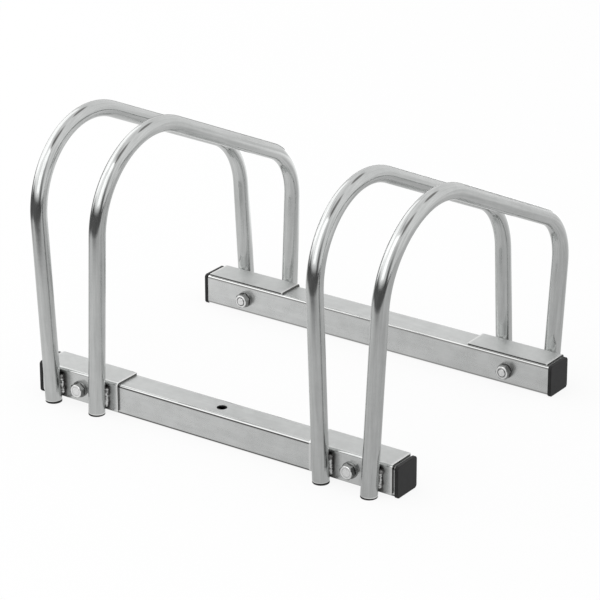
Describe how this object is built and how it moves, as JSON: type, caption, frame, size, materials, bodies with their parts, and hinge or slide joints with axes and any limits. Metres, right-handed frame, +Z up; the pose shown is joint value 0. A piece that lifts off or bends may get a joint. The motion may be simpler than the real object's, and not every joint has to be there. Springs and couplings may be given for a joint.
{
  "type": "floor bike rack",
  "caption": "Low floor stand for bicycle wheels: paired bent-tube hoops welded to angle brackets that bolt onto square rails with plastic caps.",
  "frame": {"origin": "on the floor, in the middle of the stand's footprint", "axes": "+Z up; +X along the rails, to the right of someone facing the tall ends of the hoops; +Y towards the low ends of the hoops"},
  "size_m": [0.41, 0.331, 0.2728],
  "materials": {
    "zinc_tube": "bright zinc plated round tube, satin with long draw lines",
    "zinc_rail": "bright zinc plated square tube, satin, faintly mottled",
    "zinc_bracket": "bright zinc plated bent sheet, satin, darker beside the welds",
    "weld_metal": "zinc plated weld bead, rippled",
    "zinc_fastener": "bright zinc plated bolts, nuts and washers",
    "black_cap": "black moulded polyethylene, fine satin texture",
    "black_plug": "black moulded polyethylene, smooth"
  },
  "bodies": {
    "root": {"bolt_front_left": "zinc_fastener", "bolt_front_right": "zinc_fastener", "bolt_rear_left": "zinc_fastener", "bolt_rear_right": "zinc_fastener", "bolt_washer_front_left": "zinc_fastener", "bolt_washer_front_right": "zinc_fastener", "bolt_washer_rear_left": "zinc_fastener", "bolt_washer_rear_right": "zinc_fastener", "bracket_front_left": "zinc_bracket", "bracket_front_right": "zinc_bracket", "bracket_rear_left": "zinc_bracket", "bracket_rear_right": "zinc_bracket", "foot_plug_front_left_inner": "black_plug", "foot_plug_front_left_outer": "black_plug", "foot_plug_front_right_inner": "black_plug", "foot_plug_front_right_outer": "black_plug", "foot_plug_rear_left_inner": "black_plug", "foot_plug_rear_left_outer": "black_plug", "foot_plug_rear_right_inner": "black_plug", "foot_plug_rear_right_outer": "black_plug", "front_rail": "zinc_rail", "hoop_left_inner": "zinc_tube", "hoop_left_outer": "zinc_tube", "hoop_right_inner": "zinc_tube", "hoop_right_outer": "zinc_tube", "nut_front_left": "zinc_fastener", "nut_front_right": "zinc_fastener", "nut_rear_left": "zinc_fastener", "nut_rear_right": "zinc_fastener", "nut_washer_front_left": "zinc_fastener", "nut_washer_front_right": "zinc_fastener", "nut_washer_rear_left": "zinc_fastener", "nut_washer_rear_right": "zinc_fastener", "rail_cap_front_left": "black_cap", "rail_cap_front_right": "black_cap", "rail_cap_rear_left": "black_cap", "rail_cap_rear_right": "black_cap", "rear_rail": "zinc_rail", "weld_beads_front_left": "weld_metal", "weld_beads_front_right": "weld_metal", "weld_beads_rear_left": "weld_metal", "weld_beads_rear_right": "weld_metal"}
  },
  "joints": []
}
